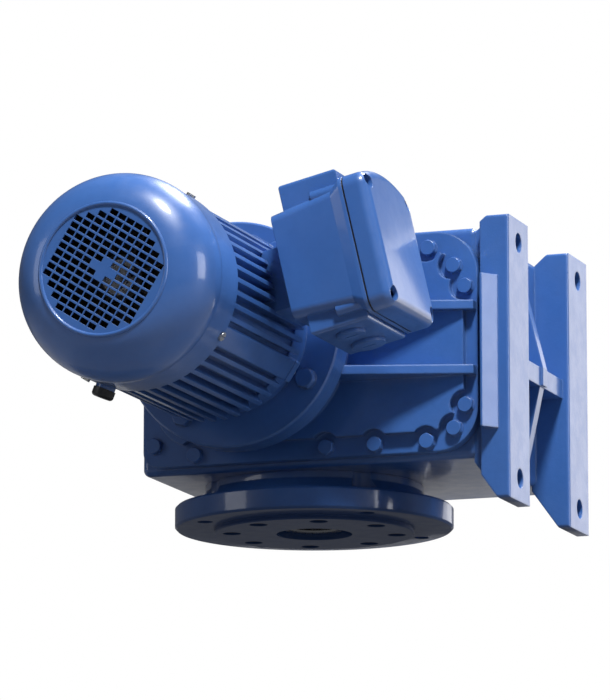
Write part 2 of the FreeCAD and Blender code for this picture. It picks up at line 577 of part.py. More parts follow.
def make_output_flange():
    z = BODY_Z0
    body = turned([(SHAFT_R + 4, 0), (SHAFT_R + 4, -SPIGOT_H), (SPIGOT_R - 1, -SPIGOT_H),
                   (SPIGOT_R, -SPIGOT_H + 1),
                   (SPIGOT_R, 0), (FLANGE_R - 2, 0), (FLANGE_R, 2), (FLANGE_R, FLANGE_THICK - 2),
                   (FLANGE_R - 2, FLANGE_THICK), (106, FLANGE_THICK), (98, z - 6), (98, z),
                   (HUB_BORE_R - CLEAR, z), (HUB_BORE_R - CLEAR, 66), (42, 66), (42, 62.1), (47.5, 62.1),
                   (47.5, 44), (42.5, 44), (42.5, 6), (SHAFT_R + 4, 6)])
    cuts = holes(ring_of(4, FLANGE_PCD / 2, 45), FLANGE_HOLE_R, -1, FLANGE_THICK + 1)
    cuts += holes(ring_of(4, FLANGE_PCD / 2, 45), 13, FLANGE_THICK, FLANGE_THICK + 19)
    cuts += holes(FLANGE_SCREWS, 5 + SCREW_CLEAR, -SPIGOT_H - 1, z + 1)
    cuts += holes(FLANGE_SCREWS, 8.2, -SPIGOT_H - 1, 8)
    save("output_flange", minus(body, cuts))
    down = FreeCAD.Placement(V(0, 0, 0), FreeCAD.Rotation(V(1, 0, 0), 180))
    screws = [put(socket_screw(10, x, y, -8, 48), down) for x, y in FLANGE_SCREWS]
    save("output_flange_screws", screws)


def lip_seal(r_shaft, r_seat, z0, z1):
    return turned([(r_shaft + 0.15, z0 + 2.2), (r_shaft + 3, z0), (r_seat - CLEAR, z0),
                   (r_seat - CLEAR, z1),
                   (r_shaft + 5, z1), (r_shaft + 5, z1 - 1.5), (r_seat - 2, z1 - 1.5),
                   (r_seat - 2, z0 + 1.5),
                   (r_shaft + 3, z0 + 3.5), (r_shaft + 0.15, z0 + 3.6)])


def make_fittings():
    save("output_seals", [lip_seal(SHAFT_R, 42.5, 7, 17), lip_seal(SHAFT_R, 42.5, 232, 242)])
    save("input_seal", put(lip_seal(12.5, 23.5, 138.2, 146), INPUT_FRAME))
    x, y = BREATHER_AT
    vent = union([hex_prism(22, BODY_Z1, BODY_Z1 + 8, x, y),
                  cyl(8 - CLEAR, BODY_Z1 - 12, BODY_Z1 + 1, x, y),
                  cyl(9, BODY_Z1 + 7, BODY_Z1 + 20, x, y), cyl(10.5, BODY_Z1 + 12, BODY_Z1 + 18, x, y)])
    save("breather_valve", vent)
    plugs = []
    for px, pz in PLUG_AT:
        head = union([hex_prism(17, BODY_U + 3, BODY_U + 10), cyl(12, BODY_U, BODY_U + 3.2),
                      cyl(8 - CLEAR, BODY_U - 12, BODY_U + 1)])
        head = put(head, BACK_FRAME)
        head.translate(V(px, 0, pz))
        plugs.append(head)
    save("oil_plugs", plugs)


# ---------------------------------------------------------------- motor
BOSS_ANGLES = (45, 135, 225, 315)
PAD_HALF = 27.0
PAD_U = (241.0, 308.0)
DRAIN_ANGLE = -125.0
DRAIN_BOSS_R = 8.5
DRAIN_BACK = 14.0         # drain hole to the rear end of the frame


def make_motor_housing():
    """Finned frame with four bolt bosses and a pad for the terminal box."""
    u0, u1 = MOTOR_BODY_U
    barrel = cyl(FIN_ROOT_R, u0, u1)
    pieces = []
    steps = int(360 / FIN_PITCH)
    for i in range(steps):
        angle = FIN_PITCH * (i + 0.5)
        near_boss = min(abs((angle - b + 180) % 360 - 180) for b in BOSS_ANGLES)
        if near_boss < 8:
            continue
        fin = box(FIN_ROOT_R - 3, FIN_R, -2.0, 2.0, u0, u1)
        pieces.append(turn_z(fin, angle))
    for angle in BOSS_ANGLES:
        boss = rounded(FIN_ROOT_R - 6, FIN_R - 0.6, -10, 10, u0, u1, 2)
        pieces.append(turn_z(boss, angle))
    pad = box(60, BOX_RHO[0] - CLEAR, -PAD_HALF, PAD_HALF, *PAD_U)
    pieces.append(pad)
    drain = along_x(cyl(DRAIN_BOSS_R, 0, FIN_R + 4))
    drain.translate(V(0, 0, u1 - DRAIN_BACK))
    pieces.append(turn_z(drain, DRAIN_ANGLE))
    solid = barrel.fuse(pieces)
    cuts = [cyl(FRAME_BORE_R, u0 - 1, u1 + 1)]
    cuts += [cyl(SHIELD_SPIGOT_R, u0 - 1, u0 + 6), cyl(SHIELD_SPIGOT_R, u1 - 6, u1 + 1)]
    cuts.append(box(50, 110, -18, 18, PAD_U[0] + 12, PAD_U[1] - 12))
    for x, y in ring_of(4, SHIELD_SCREW_R, 45):
        cuts.append(cyl(2.5, u0 - 1, u0 + 20, x, y))
        cuts.append(cyl(2.5, u1 - 20, u1 + 1, x, y))
    hole = along_x(cyl(3, 60, 120))
    hole.translate(V(0, 0, u1 - DRAIN_BACK))
    cuts.append(turn_z(hole, DRAIN_ANGLE))
    for angle in BOSS_ANGLES:
        tap = along_x(cyl(2, 75, 95))
        tap.translate(V(0, 0, u1 - 4))
        cuts.append(turn_z(tap, angle))
    save("motor_housing", put(solid.cut(cuts), MOTOR_FRAME))


def make_motor_shields():
    """Drive-end shield with the mounting flange, and the rear shield."""
    face = ADAPTER_FACE_U
    u0, u1 = MOTOR_BODY_U
    front = turned([(16, face - 4.8), (65 - CLEAR, face - 4.8), (65 - CLEAR, face), (ADAPTER_R, face),
                    (ADAPTER_R, face + 11.5), (ADAPTER_R - 1.5, face + 13), (70.5, face + 13),
                    (70, face + 20),
                    (72, u0 - 8), (77, u0 - 4), (77, u0 - CLEAR), (SHIELD_SPIGOT_R - CLEAR, u0 - CLEAR),
                    (SHIELD_SPIGOT_R - CLEAR, u0 + 5), (64, u0 + 5), (64, u0 - 12), (60, face + 20),
                    (34, face + 20),
                    (34, face + 34), (26, face + 34), (26, face + 16), (16, face + 16)])
    lugs = [turn_z(rounded(68, FIN_R + 0.4, -10, 10, u0 - 10, u0 - CLEAR, 2), a) for a in BOSS_ANGLES]
    front = front.fuse(lugs)
    cuts = holes(ring_of(4, ADAPTER_PCD / 2, 45), 5 + SCREW_CLEAR, face - 1, face + 14)
    cuts += holes(ring_of(4, SHIELD_SCREW_R, 45), 2.5 + SCREW_CLEAR, u0 - 11, u0 + 1)
    cuts += holes(ring_of(4, ADAPTER_PCD / 2, 45), 10.5, face + 13, u0 - 10.5)
    save("drive_end_shield", put(minus(front, cuts), MOTOR_FRAME))

    rear = turned([(14, u1 + 14), (32, u1 + 14), (34, u1 + 12), (34, u1 + 3), (76, u1 + 3),
                   (76, u1 + CLEAR),
                   (SHIELD_SPIGOT_R - CLEAR, u1 + CLEAR), (SHIELD_SPIGOT_R - CLEAR, u1 - 5),
                   (60, u1 - 5), (60, u1 - 1), (34, u1 - 1),
                   (34, u1 - 8), (26, u1 - 8), (26, u1 + 8), (14, u1 + 8)])
    ears = [turn_z(rounded(68, 84.5, -8, 8, u1 + CLEAR, u1 + 3, 2), a) for a in BOSS_ANGLES]
    rear = rear.fuse(ears)
    save("rear_end_shield", put(minus(rear, holes(ring_of(4, SHIELD_SCREW_R, 45), 2.5 + SCREW_CLEAR,
                                                  u1 - 1, u1 + 4)),
                                MOTOR_FRAME))
    flip = FreeCAD.Placement(V(0, 0, 0), FreeCAD.Rotation(V(1, 0, 0), 180))
    screws = [put(socket_screw(5, x, y, u1 + 3, 18), MOTOR_FRAME) for x,
              y in ring_of(4, SHIELD_SCREW_R, 45)]
    screws += [put(put(socket_screw(5, x, -y, -u0 + 10, 24), flip), MOTOR_FRAME) for x,
               y in ring_of(4, SHIELD_SCREW_R, 45)]
    save("shield_screws", screws)
    bolts = [put(hex_screw(10, x, y, face + 13, 26, 6.4), MOTOR_FRAME) for x,
             y in ring_of(4, ADAPTER_PCD / 2, 45)]
    save("motor_flange_bolts", bolts)


def make_motor_insides():
    slots = [turn_z(box(45, 58, -1.8, 1.8, 264, 356), 15 * i) for i in range(24)]
    core = minus(tube(FRAME_BORE_R - CLEAR, 42, 265, 355), slots)
    save("stator_core", put(core, MOTOR_FRAME))
    ends = []
    for u0, u1 in ((242, 264.9), (355.1, 380)):
        ends.append(turned([(46, u0 + 4), (50, u0), (61, u0), (64.5, u0 + 4), (64.5, u1 - 2), (60, u1),
                            (48, u1), (46, u1 - 2)]))
    save("stator_windings", [put(e, MOTOR_FRAME) for e in ends])
    rotor = turned([(15 + CLEAR, 258), (30, 258), (36, 256), (40, 258), (41.6, 262), (41.6, 358),
                    (40, 362),
                    (36, 364), (30, 362), (15 + CLEAR, 362)])
    save("rotor_core", put(rotor, MOTOR_FRAME))
    shaft = turned([(0, 74.2), (11.5, 74.2), (12.5, 75.2), (12.5, ADAPTER_FACE_U + 33),
                    (15, ADAPTER_FACE_U + 33),
                    (15, MOTOR_BODY_U[1] - 10), (12.5, MOTOR_BODY_U[1] - 10), (12.5, 424), (11, 424),
                    (11, 455), (10, 456), (0, 456)])
    save("rotor_shaft", put(shaft, MOTOR_FRAME))
    hub = turned([(11 + CLEAR, 429), (17, 429), (20, 431), (20, 434), (60, 429), (74, 429), (74, 431.5),
                  (60, 431.5), (20, 437), (20, 450), (11 + CLEAR, 450)])
    blades = []
    for i in range(8):
        blade = box(18, 76, -1.1, 1.1, 430, 450)
        blades.append(turn_z(blade, 45 * i))
    fan = hub.fuse(blades)
    save("cooling_fan", put(fan.cut(cyl(11 + CLEAR, 410, 470)), MOTOR_FRAME))
    clip = tube(15, 11 + CLEAR, 450.2, 451.4).cut(box(0, 20, -3, 3, 440, 460))
    save("fan_circlip", put(clip, MOTOR_FRAME))


def make_cowl():
    """Deep-drawn fan cowl with rows of short slots in its end."""
    u0, u1 = COWL_U
    knee = u1 - 46.0

    def skin(r, top, flat_r, start):
        lower = [V(0, 0, start), V(r, 0, start), V(r, 0, knee)]
        mid_angle = math.radians(48)
        mid_point = V(flat_r + (r - flat_r) * math.cos(mid_angle), 0,
                      knee + (top - knee) * math.sin(mid_angle))
        arc = Part.Arc(lower[2], mid_point, V(flat_r, 0, top)).toShape()
        edges = [Part.makeLine(lower[0], lower[1]), Part.makeLine(lower[1], lower[2]), arc,
                 Part.makeLine(V(flat_r, 0, top), V(0, 0, top)), Part.makeLine(V(0, 0, top), lower[0])]
        return Part.Face(Part.Wire(edges)).revolve(V(0, 0, 0), V(0, 0, 1), 360)

    cowl = skin(COWL_R, u1, GRILLE_R + 4, u0).cut(skin(COWL_R - COWL_SKIN, u1 - COWL_SKIN, GRILLE_R + 3,
                                                       u0 - 1))
    tools = []
    rows = int(GRILLE_R / SLOT_PITCH[1]) + 1
    columns = int(GRILLE_R / SLOT_PITCH[0]) + 1
    half_x, half_y = SLOT_SIZE[0] / 2, SLOT_SIZE[1] / 2
    for j in range(-rows, rows + 1):
        for i in range(-columns, columns + 1):
            x, y = i * SLOT_PITCH[0], j * SLOT_PITCH[1]
            corner = math.hypot(abs(x) + half_x, abs(y) + half_y)
            if math.hypot(x, y) < GRILLE_HUB_R or corner > GRILLE_R:
                continue
            tools.append(box(x - half_x, x + half_x, y - half_y, y + half_y, u1 - 6, u1 + 4))
    grid = turn_z(Part.makeCompound(tools), -45)
    bead = Part.makeTorus(GRILLE_R + 1.8, 1.8, V(0, 0, u1 - 0.3))
    cowl = cowl.fuse(bead).cut(grid)
    taps = []
    screws = []
    for angle in BOSS_ANGLES:
        tap = cyl(2 + SCREW_CLEAR, 80, 95)
        screw = union([cyl(2 - CLEAR, COWL_R - 4, COWL_R), cyl(4, COWL_R, COWL_R + 2.2)])
        screw = screw.cut(box(-5, 5, -0.5, 0.5, COWL_R + 1.2, 95))
        for piece, out in ((tap, taps), (screw, screws)):
            piece.rotate(V(0, 0, 0), V(0, 1, 0), 90)
            piece.translate(V(0, 0, MOTOR_BODY_U[1] - 4))
            out.append(turn_z(piece, angle))
    notch = along_x(cyl(DRAIN_BOSS_R + 0.7, FIN_R - 20, FIN_R + 20))
    notch.translate(V(0, 0, MOTOR_BODY_U[1] - DRAIN_BACK))
    taps.append(turn_z(notch, DRAIN_ANGLE))
    save("fan_cowl", put(cowl.cut(taps), MOTOR_FRAME))
    save("cowl_screws", [put(s, MOTOR_FRAME) for s in screws])


def along_x(shape):
    """Turns a piece made along +Z to run along local +X."""
    out = shape.copy()
    out.rotate(V(0, 0, 0), V(0, 1, 0), 90)
    return out


def at_lid(maker, y, u):
    piece = along_x(maker)
    piece.translate(V(0, y, u))
    return piece


def rounded_wire(x, half_low, half_high, u0, u1, r, arch=0.0):
    """Rounded rectangle in the plane local X = x, its upper side arched by the given rise."""
    y0, y1 = -half_low, half_high
    c = r * (1 - math.sqrt(0.5))
    mid = (u0 + u1) / 2

    def at(y, u):
        return V(x, y, u)

    if arch:
        top = Part.Arc(at(y1, u1 - r), at(y1 + arch, mid), at(y1, u0 + r)).toShape()
    else:
        top = Part.makeLine(at(y1, u1 - r), at(y1, u0 + r))
    edges = [
        Part.makeLine(at(y0, u0 + r), at(y0, u1 - r)),
        Part.Arc(at(y0, u1 - r), at(y0 + c, u1 - c), at(y0 + r, u1)).toShape(),
        Part.makeLine(at(y0 + r, u1), at(y1 - r, u1)),
        Part.Arc(at(y1 - r, u1), at(y1 - c, u1 - c), at(y1, u1 - r)).toShape(),
        top,
        Part.Arc(at(y1, u0 + r), at(y1 - c, u0 + c), at(y1 - r, u0)).toShape(),
        Part.makeLine(at(y1 - r, u0), at(y0 + r, u0)),
        Part.Arc(at(y0 + r, u0), at(y0 + c, u0 + c), at(y0, u0 + r)).toShape(),
    ]
    return Part.Wire(edges)


def prism_x(wire, length):
    return Part.Face(wire).extrude(V(length, 0, 0))


LID_SCREWS = [(y, u) for y in (-50, 50) for u in (BOX_U[0] + 8, BOX_U[1] - 8)]


def box_body():
    """Tapered box whose walls flare out under the lid, hollow from the lid side."""
    x0, x1 = BOX_RHO
    u0, u1 = BOX_U
    foot, shoulder = BOX_HALF
    over, inset = LID_OVERHANG, BOX_WALL
    rings = [(x0, foot, u0 + 3, u1 - 3, 8), (BOX_SHOULDER_RHO, shoulder, u0, u1, 8),
             (x1 - 3, LID_HALF, u0 - over, u1 + over, 12)]
    lower = Part.makeLoft([rounded_wire(x, h, h, a, b, r) for x, h, a, b, r in rings[:2]], True, True)
    flare = Part.makeLoft([rounded_wire(x, h, h, a, b, r) for x, h, a, b, r in rings[1:]], True, True)
    rim = prism_x(rounded_wire(x1 - 3, LID_HALF, LID_HALF, u0 - over, u1 + over, 12), 3)
    outside = lower.fuse([flare, rim])
    hollow = [(x0 + inset, foot, u0 + 3, u1 - 3, 6), (BOX_SHOULDER_RHO, shoulder, u0, u1, 6)]
    inside = Part.makeLoft([rounded_wire(x, h - inset, h - inset, a + inset, b - inset, r)
                            for x, h, a, b, r in hollow], True, True)
    mouth = prism_x(rounded_wire(BOX_SHOULDER_RHO - 1, shoulder - inset, shoulder - inset,
                                 u0 + inset, u1 - inset, 6), 20)
    wing = box(WING_RHO[0], WING_RHO[1], WING_Y[0], WING_Y[1], WING_U[0], WING_U[1])
    wing = wing.makeFillet(3, [e for e in wing.Edges if e.BoundBox.YLength < 0.1])
    posts = [at_lid(cyl(5.5, x1 - 30, x1), y, u) for y, u in LID_SCREWS]
    return outside.fuse(wing).cut([inside, mouth]).fuse(posts)


def lid_outline(x, inset=0.0, r=12.0):
    arch = LID_ARCH
    u0, u1 = BOX_U[0] - LID_OVERHANG + inset, BOX_U[1] + LID_OVERHANG - inset
    return rounded_wire(x, LID_HALF - inset, LID_HALF - inset, u0, u1, r, arch)


def make_terminal_box():
    x0, x1 = BOX_RHO
    u0, u1 = BOX_U
    solid = box_body()
    cuts = [at_lid(cyl(2.5, x1 - 28, x1 + 1), y, u) for y, u in LID_SCREWS]
    cuts.append(box(x0 - 1, x0 + 5, -17, 17, PAD_U[0] + 13, PAD_U[1] - 13))
    plugs = []
    centre = sum(WING_RHO) / 2
    for face, side in zip(WING_Y, (-1, 1)):
        for u, r in CABLE_ENTRIES:
            cuts.append(Part.makeCylinder(r, 30, V(centre, face - 28 * side, u), V(0, side, 0)))
            plug = Part.makeCylinder(r - CLEAR, 10, V(centre, face - 8 * side, u), V(0, side, 0))
            head = Part.makeCylinder(r + 2.5, 3.5, V(centre, face, u), V(0, side, 0))
            drive = Part.makeBox(12, 2.4, 2.4, V(centre - 6, face + 3.5 * side - 1.2, u - 1.2))
            plugs.append(put(union([plug, head]).cut(drive), MOTOR_FRAME))
    save("terminal_box", put(solid.cut(cuts), MOTOR_FRAME))
    save("cable_entry_plugs", plugs)

    seal_at = x1 + GASKET
    outer = prism_x(lid_outline(seal_at), LID_RHO - seal_at)
    edge = [e for e in outer.Edges if e.BoundBox.XMin > LID_RHO - 0.01]
    outer = outer.makeFillet(LID_EDGE_R, edge)
    inner = prism_x(rounded_wire(seal_at - 1, 50, 50, u0 + 6, u1 - 6, 6), LID_RHO - 4 - seal_at + 1)
    posts = [at_lid(cyl(7, seal_at, LID_RHO - 8), y, u) for y, u in LID_SCREWS]
    lid = outer.cut(inner).fuse(posts)
    cuts = [at_lid(cyl(2.5 + SCREW_CLEAR, x1, LID_RHO + 1), y, u) for y, u in LID_SCREWS]
    cuts += [at_lid(cyl(6.5, LID_RHO - 12, LID_RHO + 1), y, u) for y, u in LID_SCREWS]
    save("terminal_box_lid", put(lid.cut(cuts), MOTOR_FRAME))
    band = prism_x(rounded_wire(x1, LID_HALF - 1, LID_HALF - 1, u0 - 1, u1 + 1, 11), GASKET)
    opening = prism_x(rounded_wire(x1 - 1, 46, 46, u0 + 5, u1 - 5, 6), GASKET + 2)
    corners = [at_lid(cyl(5.5, x1 - 1, seal_at + 1), y, u) for y, u in LID_SCREWS]
    band = band.cut(opening.cut(corners))
    band = band.cut([at_lid(cyl(2.5 + SCREW_CLEAR, x1 - 1, seal_at + 1), y, u) for y, u in LID_SCREWS])
    save("lid_gasket", put(band, MOTOR_FRAME))
    screws = [at_lid(socket_screw(5, 0, 0, LID_RHO - 12, 32), y, u) for y, u in LID_SCREWS]
    save("lid_screws", [put(s, MOTOR_FRAME) for s in screws])

    block = box(x0 + 4, x0 + 20, -26, 26, 300, 326)
    walls = [box(x0 + 19, x0 + 28, y - 1, y + 1, 300, 326) for y in (-9, 9)]
    block = block.fuse(walls)
    studs = []
    for y in (-18, 0, 18):
        for u in (306.5, 319.5):
            studs.append(at_lid(union([cyl(2.5, x0 + 20, x0 + 36), hex_prism(8, x0 + 22, x0 + 26)]), y,
                                u))
    save("terminal_block", put(block, MOTOR_FRAME))
    save("terminal_studs", [put(s, MOTOR_FRAME) for s in studs])


def make_trim():
    """Condensate drain plug low on the motor frame."""
    plug = along_x(union([cyl(3 - CLEAR, FIN_R - 6, FIN_R + 4.5),
                          cyl(9.5, FIN_R + 4 + CLEAR, FIN_R + 12)]))
    plug = plug.makeFillet(3, [e for e in plug.Edges if e.BoundBox.XMin > FIN_R + 11.9])
    plug.translate(V(0, 0, MOTOR_BODY_U[1] - 14))
    save("drain_plug", put(turn_z(plug, DRAIN_ANGLE), MOTOR_FRAME))


def build():
    make_helical_pair()
    make_worm()
    make_wheel()
    make_hollow_shaft()
    save_bearings("output_bearing", UP_FRAME, (60, 95, 18, 14), OUTPUT_BEARING_Z)
    save_bearings("worm_bearing", WORM_FRAME, (30, 62, 16, 9), (56.5, -100.0))
    save_bearings("motor_bearing", MOTOR_FRAME, (25, 52, 15, 9),
                  (111.5, ADAPTER_FACE_U + 17, MOTOR_BODY_U[1] - 7))
    make_housing()
    make_input_cover()
    make_small_covers()
    make_output_flange()
    make_fittings()
    make_motor_housing()
    make_motor_shields()
    make_motor_insides()
    make_cowl()
    make_terminal_box()
    make_trim()
    os.makedirs("parts", exist_ok=True)
    for name, shape in PARTS.items():
        state = "ok" if shape.isValid() else "NOT VALID"
        print(name, len(shape.Solids), round(shape.Volume), state)
        shape.exportStep("parts/" + name + ".step")
    print(len(PARTS), "parts")


build()
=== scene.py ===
import json

import bpy
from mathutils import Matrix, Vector

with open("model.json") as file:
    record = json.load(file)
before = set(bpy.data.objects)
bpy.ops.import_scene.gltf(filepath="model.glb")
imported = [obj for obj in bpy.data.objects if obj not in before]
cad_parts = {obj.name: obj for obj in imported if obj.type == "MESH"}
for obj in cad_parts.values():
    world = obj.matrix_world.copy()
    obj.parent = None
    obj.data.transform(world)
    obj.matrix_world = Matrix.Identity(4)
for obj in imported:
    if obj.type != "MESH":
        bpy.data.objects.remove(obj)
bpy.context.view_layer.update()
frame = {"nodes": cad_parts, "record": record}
NODES = frame["nodes"]
SLOT_OF = {s["node"]: s["material_slot"] for s in frame["record"]["subparts"]}
SHADER_SAMPLES = 4          # rays of the bevel and ambient occlusion nodes
DIE_CAST = ("motor_housing", "drive_end_shield", "terminal_box", "terminal_box_lid")

# the stage, in metres and watts
FLOOR_HALF = 9.0
FLOOR_Z = -0.0045           # just under the mounting face
FLOOR_GLOW = 0.55           # keeps the floor pale to the camera without lighting the part
FLOOR_LETS_THROUGH = 0.84   # share of bounced rays that the floor doesn't stop
WORLD_STRENGTH = 0.10       # what the part sees; the camera sees plain white
MIDDLE = (0, -0.1, 0.14)    # what the lamps aim at, near the middle of the part
NEAR_WHITE, COOL_WHITE, PURE_WHITE = (1.0, 0.99, 0.97), (0.97, 0.97, 1.0), (1, 1, 1)
LAMPS = (                   # name, place, size, power, color
    ("key", (1.05, -1.72, 3.0), (0.5, 0.5), 180, NEAR_WHITE),
    ("side", (2.85, -0.5, 0.75), (1.1, 1.1), 21, COOL_WHITE),
    ("gloss", (1.3, 3.4, 0.60), (2.2, 1.8), 20, (0.98, 0.97, 1.0)),
    ("top", (0.45, 0.9, 2.2), (0.5, 0.4), 85, PURE_WHITE),
    ("fill", (-2.4, -2.2, 0.9), (1.2, 1.2), 8, PURE_WHITE),
)
CAMERA_PLACE = (1.597, -4.481, -0.742)
CAMERA_AIM = (0.028, -0.103, 0.144)
SENSOR_MM = 36.0
LENS_MM = 276.0


# ---------------------------------------------------------------- node helpers
class Tree:
    """Small wrapper that makes shader nodes and links in one call."""

    def __init__(self, name):
        self.mat = bpy.data.materials.new(name)
        self.mat.use_nodes = True
        self.nt = self.mat.node_tree
        self.nt.nodes.clear()
        self.out = self.nt.nodes.new("ShaderNodeOutputMaterial")
        self.bsdf = self.nt.nodes.new("ShaderNodeBsdfPrincipled")
        self.link(self.bsdf.outputs[0], self.out.inputs["Surface"])
        self.coords = self.nt.nodes.new("ShaderNodeTexCoord").outputs["Object"]

    def link(self, a, b):
        self.nt.links.new(a, b)

    def put(self, socket, value):
        if hasattr(value, "links"):
            self.link(value, socket)
        else:
            socket.default_value = value

    def noise(self, scale, detail=3.0, rough=0.5, distortion=0.0, vector=None):
        n = self.nt.nodes.new("ShaderNodeTexNoise")
        n.inputs["Scale"].default_value = scale
        n.inputs["Detail"].default_value = detail
        n.inputs["Roughness"].default_value = rough
        n.inputs["Distortion"].default_value = distortion
        self.link(vector or self.coords, n.inputs["Vector"])
        return n.outputs["Fac"]

    def stretch(self, sx, sy, sz, rotation=(0, 0, 0)):
        n = self.nt.nodes.new("ShaderNodeMapping")
        n.inputs["Scale"].default_value = (sx, sy, sz)
        n.inputs["Rotation"].default_value = rotation
        self.link(self.coords, n.inputs["Vector"])
        return n.outputs[0]

    def span(self, value, a, b, c=0.0, d=1.0):
        n = self.nt.nodes.new("ShaderNodeMapRange")
        n.interpolation_type = "SMOOTHSTEP"
        self.put(n.inputs["Value"], value)
        for key, v in (("From Min", a), ("From Max", b), ("To Min", c), ("To Max", d)):
            self.put(n.inputs[key], v)
        return n.outputs[0]

    def math(self, op, a, b=0.0, clamp=False):
        n = self.nt.nodes.new("ShaderNodeMath")
        n.operation = op
        n.use_clamp = clamp
        self.put(n.inputs[0], a)
        self.put(n.inputs[1], b)
        return n.outputs[0]

    def mix(self, fac, a, b, blend="MIX"):
        n = self.nt.nodes.new("ShaderNodeMix")
        n.data_type = "RGBA"
        n.blend_type = blend
        self.put(n.inputs[0], fac)
        self.put(n.inputs[6], a)
        self.put(n.inputs[7], b)
        return n.outputs[2]

    def bump(self, height, strength, distance, normal=None):
        n = self.nt.nodes.new("ShaderNodeBump")
        n.inputs["Strength"].default_value = strength
        n.inputs["Distance"].default_value = distance
        self.link(height, n.inputs["Height"])
        if normal is not None:
            self.link(normal, n.inputs["Normal"])
        return n.outputs[0]

    def soft_edges(self, radius):
        """Normal of the surface with its edges rounded, and a mask that is 1 along convex edges."""
        n = self.nt.nodes.new("ShaderNodeBevel")
        n.samples = SHADER_SAMPLES
        n.inputs["Radius"].default_value = radius
        geo = self.nt.nodes.new("ShaderNodeNewGeometry")
        dot = self.nt.nodes.new("ShaderNodeVectorMath")
        dot.operation = "DOT_PRODUCT"
        self.link(n.outputs[0], dot.inputs[0])
        self.link(geo.outputs["Normal"], dot.inputs[1])
        return n.outputs[0], self.span(dot.outputs["Value"], 0.995, 0.86)

    def recess_shade(self, distance):
        """1 in corners and recesses; the materials darken their colour with it as painted shade."""
        n = self.nt.nodes.new("ShaderNodeAmbientOcclusion")
        n.samples = SHADER_SAMPLES
        n.inputs["Distance"].default_value = distance
        return self.span(n.outputs["AO"], 0.75, 0.25)

    def set(self, **values):
        names = {"color": "Base Color", "rough": "Roughness", "metal": "Metallic", "normal": "Normal",
                 "coat": "Coat Weight", "coat_rough": "Coat Roughness", "spec": "Specular IOR Level"}
        for key, value in values.items():
            self.put(self.bsdf.inputs[names[key]], value)
        return self.mat


def rgb(r, g, b):
    return (r, g, b, 1.0)


BLUE = rgb(0.034, 0.114, 0.365)
BLUE_LIGHT = rgb(0.041, 0.130, 0.400)
BLUE_DARK = rgb(0.018, 0.058, 0.200)
# painted highlight colour for convex edges
BLUE_EDGE_HIGHLIGHT = rgb(0.085, 0.185, 0.450)
BARE_IRON = rgb(0.23, 0.235, 0.25)
DUST = rgb(0.20, 0.20, 0.21)


def paint(name, cast, peel, radius=0.0012, wear=0.5, shade_and_dirt=0.6):
    """Blue enamel. cast and peel are the depths of casting grain and orange peel, in metres."""
    t = Tree(name)
    edge_normal, edge = t.soft_edges(radius)
    cloudy = t.noise(9, 4, 0.55)
    fine = t.noise(160, 3, 0.6)
    color = t.mix(t.span(cloudy, 0.35, 0.68), BLUE, BLUE_LIGHT)
    color = t.mix(t.math("MULTIPLY", t.span(fine, 0.35, 0.75), 0.08), color, BLUE_DARK)
    # Painted shade: the ambient-occlusion mask darkens the paint towards BLUE_DARK in corners and
    # recesses; the same mask also roughens the paint there as dirt.
    corner = t.math("MULTIPLY", t.recess_shade(0.012), shade_and_dirt)
    color = t.mix(t.math("MULTIPLY", corner, 0.55), color, BLUE_DARK)
    faces = t.nt.nodes.new("ShaderNodeNewGeometry")
    axis = t.nt.nodes.new("ShaderNodeSeparateXYZ")
    t.link(faces.outputs["Normal"], axis.inputs[0])
    level = t.span(axis.outputs["Z"], 0.55, 0.98)
    settled = t.math("MULTIPLY", level, t.span(t.noise(35, 5, 0.65), 0.38, 0.72))
    color = t.mix(t.math("MULTIPLY", settled, 0.05), color, DUST)
    ragged = t.span(t.noise(420, 4, 0.7), 0.42, 0.62)
    patchy = t.span(t.noise(14, 3, 0.5), 0.48, 0.70)
    worn = t.math("MULTIPLY", t.math("MULTIPLY", edge, ragged), t.math("MULTIPLY", patchy, wear))
    # Painted highlight: convex edges are lightened towards a paler blue, standing in for the light
    # that rounded edges catch.
    color = t.mix(t.math("MULTIPLY", edge, 0.35), color, BLUE_EDGE_HIGHLIGHT)
    color = t.mix(worn, color, BARE_IRON)
    grain = t.noise(310, 5, 0.62)
    waves = t.noise(640, 2, 0.5)
    low = t.noise(26, 2, 0.5)
    normal = edge_normal
    if cast:
        normal = t.bump(low, 0.5, cast * 2.5, normal)
        normal = t.bump(grain, 0.6, cast, normal)
    normal = t.bump(waves, 0.6, peel, normal)
    rough = t.span(t.noise(60, 4, 0.6), 0.3, 0.7, 0.32, 0.42)
    rough = t.math("ADD", rough, t.math("MULTIPLY", corner, 0.2))
    rough = t.math("ADD", rough, t.math("MULTIPLY", settled, 0.12), clamp=True)
    gloss = t.span(t.noise(38, 3, 0.55), 0.3, 0.75, 0.08, 0.12)
    return t.set(color=color, rough=rough, normal=normal, coat=0.75, coat_rough=gloss, spec=0.5)


def metal(name, color, rough, turned=0.0, stain=0.25, radius=0.0004, grain_axis=(1, 1, 1)):
    t = Tree(name)
    edge_normal, edge = t.soft_edges(radius)
    streak = t.noise(900, 3, 0.6, vector=t.stretch(*grain_axis))
    cloud = t.noise(55, 5, 0.6)
    dark = rgb(color[0] * 0.45, color[1] * 0.43, color[2] * 0.40)
    tint = t.mix(t.math("MULTIPLY", t.span(cloud, 0.40, 0.75), stain), color, dark)
    # Painted shade: the metal is darker in corners and recesses, from the ambient-occlusion mask.
    tint = t.mix(t.math("MULTIPLY", t.recess_shade(0.004), 0.5), tint, dark)
    normal = t.bump(streak, 0.35, 0.00006 + turned, edge_normal)
    r = t.span(t.noise(240, 4, 0.6), 0.3, 0.7, rough - 0.08, rough + 0.12)
    return t.set(color=tint, rough=r, metal=1.0, normal=normal)


